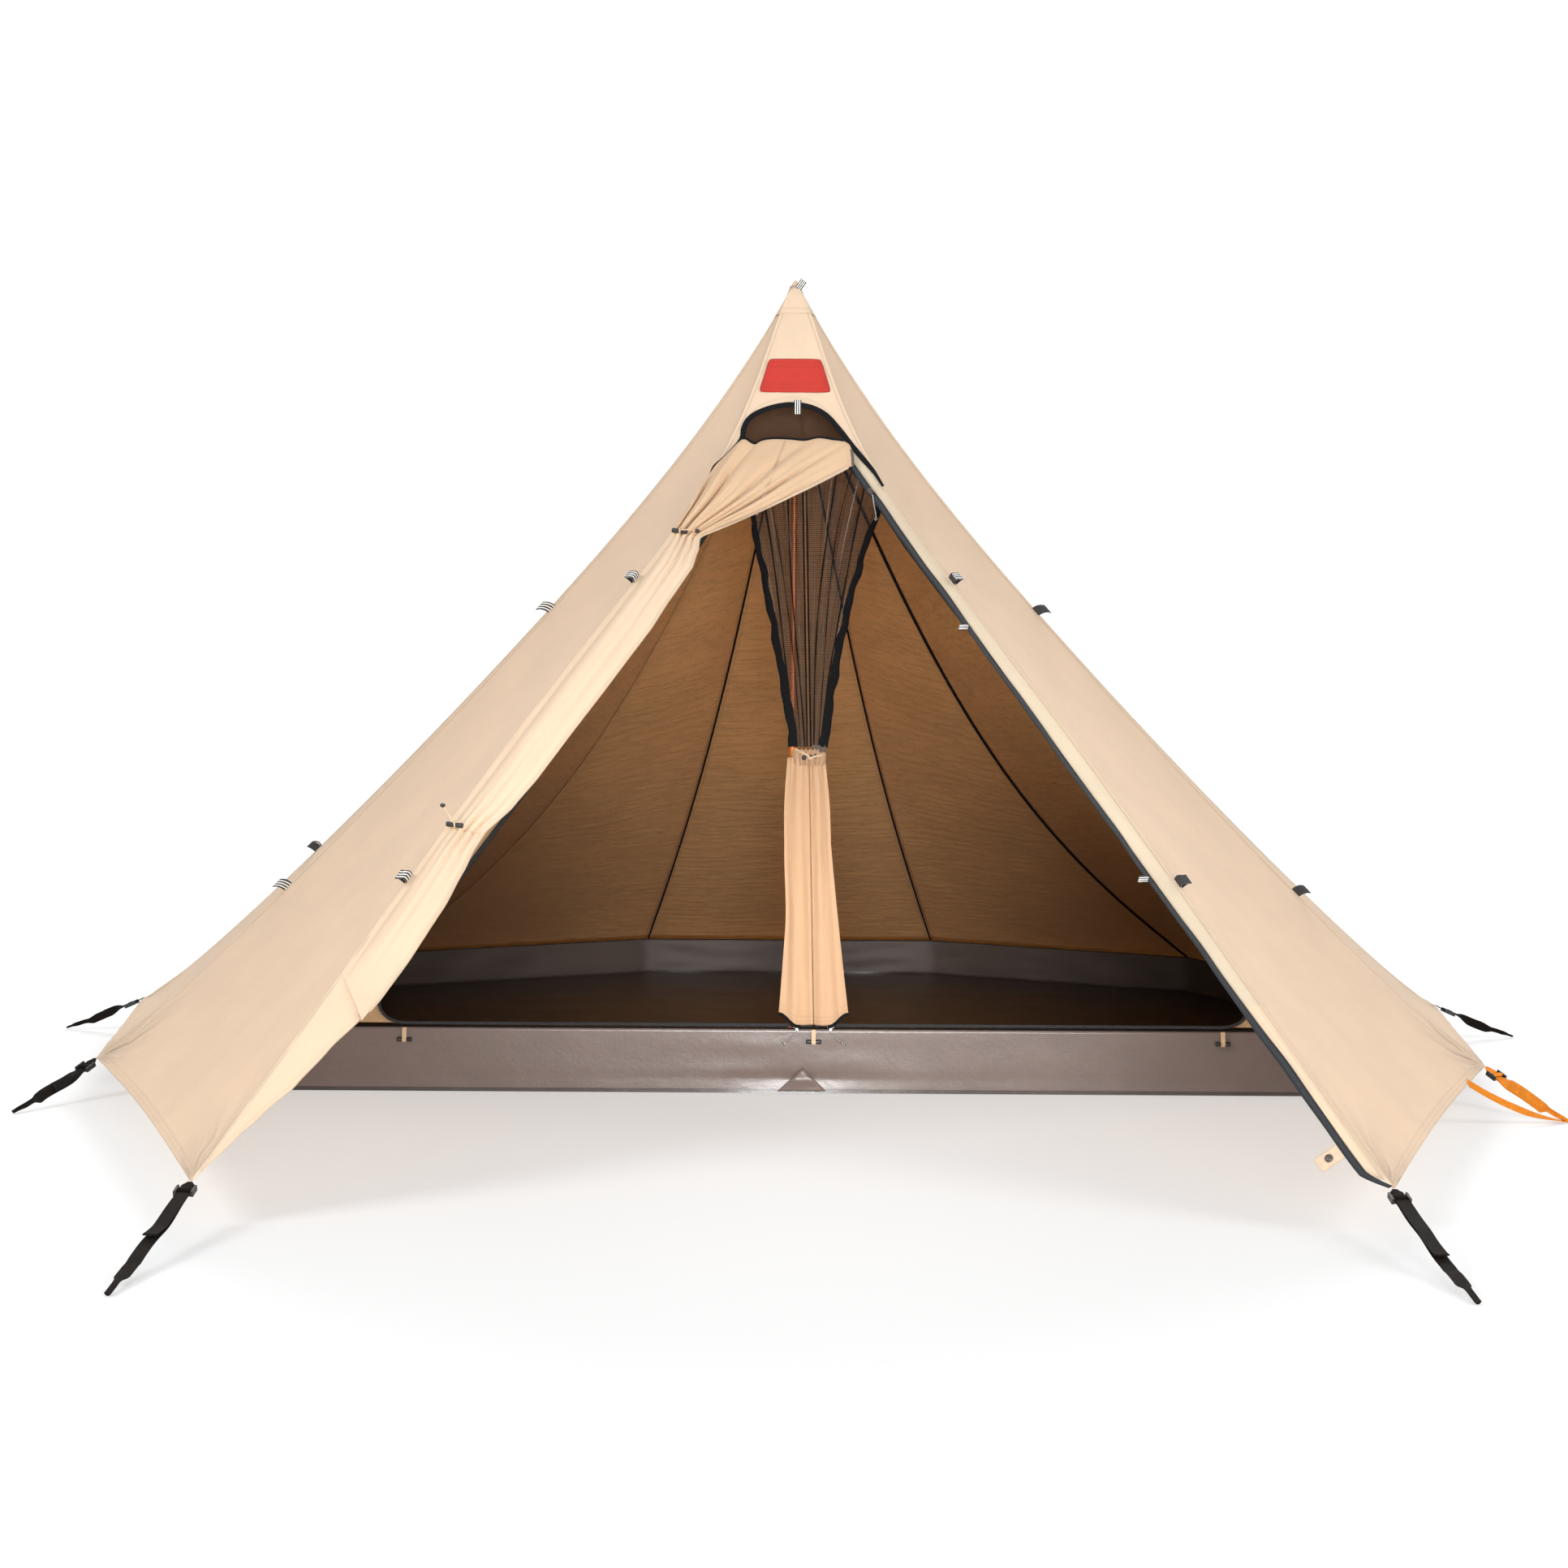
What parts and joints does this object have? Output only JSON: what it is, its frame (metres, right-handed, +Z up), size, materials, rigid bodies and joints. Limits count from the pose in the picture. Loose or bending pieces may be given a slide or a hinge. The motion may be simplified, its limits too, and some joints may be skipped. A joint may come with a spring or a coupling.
{
  "type": "tipi tent",
  "caption": "Single-pole cotton tipi tent with its door rolled to the left, a half inner tent with gathered netting doors, a tub floor and webbing corner straps.",
  "frame": {"origin": "on the ground under the pole's foot, at the floor's underside", "axes": "+Z up along the pole, +Y from the door to the back, +X to the right seen from the door"},
  "size_m": [3.6034, 4.3011, 1.7634],
  "materials": {
    "sand_cotton": "matt woven",
    "inner_cotton": "matt woven",
    "coated_floor": "coated, slight sheen",
    "zip_tape": "matt tape with fine teeth",
    "orange_tube": "anodised satin",
    "foot_rubber": "matt",
    "black_plastic": "moulded satin",
    "slider_metal": "enamelled",
    "black_webbing": "woven webbing",
    "orange_webbing": "woven webbing"
  },
  "bodies": {
    "tent": {"apex_cap": "sand_cotton", "floor_tub": "coated_floor", "fly_back": "sand_cotton", "fly_front": "sand_cotton", "fly_left_corner": "sand_cotton", "fly_left_front": "sand_cotton", "fly_left_rear": "sand_cotton", "fly_left_side": "sand_cotton", "fly_right_corner": "sand_cotton", "fly_right_front": "sand_cotton", "fly_right_rear": "sand_cotton", "fly_right_side": "sand_cotton", "inner_back": "inner_cotton", "inner_door_left": "inner_cotton", "inner_door_right": "inner_cotton", "inner_front_left": "inner_cotton", "inner_front_right": "inner_cotton", "inner_left_rear": "inner_cotton", "inner_left_side": "inner_cotton", "inner_right_rear": "inner_cotton", "inner_right_side": "inner_cotton", "inner_zip_left": "zip_tape", "inner_zip_right": "zip_tape", "outer_door": "sand_cotton", "outer_zip": "zip_tape", "pole_foot": "foot_rubber", "pole_lower": "orange_tube", "pole_middle": "orange_tube", "pole_tip": "black_plastic", "pole_upper": "orange_tube", "stud_tab": "sand_cotton"},
    "strap_front_left_body": {"strap_front_left": "black_webbing", "buckle_front_left": "black_plastic"},
    "strap_front_right_body": {"strap_front_right": "black_webbing", "buckle_front_right": "black_plastic"},
    "strap_mid_left_body": {"strap_mid_left": "black_webbing", "buckle_mid_left": "black_plastic"},
    "strap_mid_right_body": {"strap_mid_right": "orange_webbing", "buckle_mid_right": "black_plastic"},
    "strap_side_left_body": {"strap_side_left": "black_webbing", "buckle_side_left": "black_plastic"},
    "strap_side_right_body": {"strap_side_right": "black_webbing", "buckle_side_right": "black_plastic"},
    "strap_rear_left_body": {"strap_rear_left": "black_webbing", "buckle_rear_left": "black_plastic"},
    "strap_rear_right_body": {"strap_rear_right": "black_webbing", "buckle_rear_right": "black_plastic"},
    "strap_back_left_body": {"strap_back_left": "black_webbing", "buckle_back_left": "black_plastic"},
    "strap_back_right_body": {"strap_back_right": "black_webbing", "buckle_back_right": "black_plastic"},
    "outer_slider_body": {"outer_slider": "slider_metal"},
    "inner_slider_left_body": {"inner_slider_left": "slider_metal"},
    "inner_slider_right_body": {"inner_slider_right": "slider_metal"},
    "wall_toggle_left_body": {"wall_toggle_left": "black_plastic"},
    "wall_toggle_centre_body": {"wall_toggle_centre": "black_plastic"},
    "wall_toggle_right_body": {"wall_toggle_right": "black_plastic"},
    "inner_door_toggle_body": {"inner_door_toggle": "black_plastic"},
    "door_toggle_upper_body": {"door_toggle_upper": "black_plastic"},
    "door_toggle_lower_body": {"door_toggle_lower": "black_plastic"}
  },
  "joints": [
    {"name": "strap_front_left_lift", "type": "hinge", "parent": "tent", "child": "strap_front_left_body", "pos_m": [-1.01506, -1.461, 0.083], "axis": [-0.998, 0.0637, 0], "range_deg": [0, 75]},
    {"name": "strap_front_right_lift", "type": "hinge", "parent": "tent", "child": "strap_front_right_body", "pos_m": [1.01506, -1.461, 0.083], "axis": [-0.998, -0.0637, 0], "range_deg": [0, 75]},
    {"name": "strap_mid_left_lift", "type": "hinge", "parent": "tent", "child": "strap_mid_left_body", "pos_m": [-1.49086, -0.14158, 0.083], "axis": [-0.8779, 0.4789, 0], "range_deg": [0, 35]},
    {"name": "strap_mid_right_lift", "type": "hinge", "parent": "tent", "child": "strap_mid_right_body", "pos_m": [1.49086, -0.14158, 0.083], "axis": [-0.8779, -0.4789, 0], "range_deg": [0, 35]},
    {"name": "strap_side_left_lift", "type": "hinge", "parent": "tent", "child": "strap_side_left_body", "pos_m": [-1.601, 0.8201, 0.083], "axis": [0.0995, 0.995, 0], "range_deg": [0, 75]},
    {"name": "strap_side_right_lift", "type": "hinge", "parent": "tent", "child": "strap_side_right_body", "pos_m": [1.601, 0.8201, 0.083], "axis": [0.0995, -0.995, 0], "range_deg": [0, 75]},
    {"name": "strap_rear_left_lift", "type": "hinge", "parent": "tent", "child": "strap_rear_left_body", "pos_m": [-1.18658, 1.77082, 0.083], "axis": [0.817, 0.5767, 0], "range_deg": [0, 75]},
    {"name": "strap_rear_right_lift", "type": "hinge", "parent": "tent", "child": "strap_rear_right_body", "pos_m": [1.18658, 1.77082, 0.083], "axis": [0.817, -0.5767, 0], "range_deg": [0, 75]},
    {"name": "strap_back_left_lift", "type": "hinge", "parent": "tent", "child": "strap_back_left_body", "pos_m": [-0.43923, 2.15797, 0.083], "axis": [0.9728, 0.2316, 0], "range_deg": [0, 75]},
    {"name": "strap_back_right_lift", "type": "hinge", "parent": "tent", "child": "strap_back_right_body", "pos_m": [0.43923, 2.15797, 0.083], "axis": [0.9728, -0.2316, 0], "range_deg": [0, 75]},
    {"name": "outer_zip_slide", "type": "slide", "parent": "tent", "child": "outer_slider_body", "axis": [0.4385, -0.6261, -0.6447], "range_m": [0, 1.68]},
    {"name": "inner_zip_slide_left", "type": "slide", "parent": "tent", "child": "inner_slider_left_body", "axis": [-1, 0, 0], "range_m": [0, 0.78]},
    {"name": "inner_zip_slide_right", "type": "slide", "parent": "tent", "child": "inner_slider_right_body", "axis": [1, 0, 0], "range_m": [0, 0.78]},
    {"name": "wall_toggle_left_turn", "type": "hinge", "parent": "tent", "child": "wall_toggle_left_body", "pos_m": [-0.84029, -0.0574, 0.115], "axis": [0, -1, 0], "range_deg": [-60, 60]},
    {"name": "wall_toggle_centre_turn", "type": "hinge", "parent": "tent", "child": "wall_toggle_centre_body", "pos_m": [0.04971, -0.0574, 0.115], "axis": [0, -1, 0], "range_deg": [-60, 60]},
    {"name": "wall_toggle_right_turn", "type": "hinge", "parent": "tent", "child": "wall_toggle_right_body", "pos_m": [0.93971, -0.0574, 0.115], "axis": [0, -1, 0], "range_deg": [-60, 60]},
    {"name": "inner_door_toggle_turn", "type": "hinge", "parent": "tent", "child": "inner_door_toggle_body", "pos_m": [0.03593, -0.05063, 0.73512], "axis": [0, -0.9996, 0.0266], "range_deg": [-60, 60]},
    {"name": "door_toggle_upper_turn", "type": "hinge", "parent": "tent", "child": "door_toggle_upper_body", "pos_m": [-0.23406, -0.38266, 1.2117], "axis": [-0.0771, -0.6204, 0.7805], "range_deg": [-10, 10]},
    {"name": "door_toggle_lower_turn", "type": "hinge", "parent": "tent", "child": "door_toggle_lower_body", "pos_m": [-0.62839, -0.94482, 0.65094], "axis": [-0.0831, -0.6386, 0.7651], "range_deg": [-10, 10]}
  ]
}
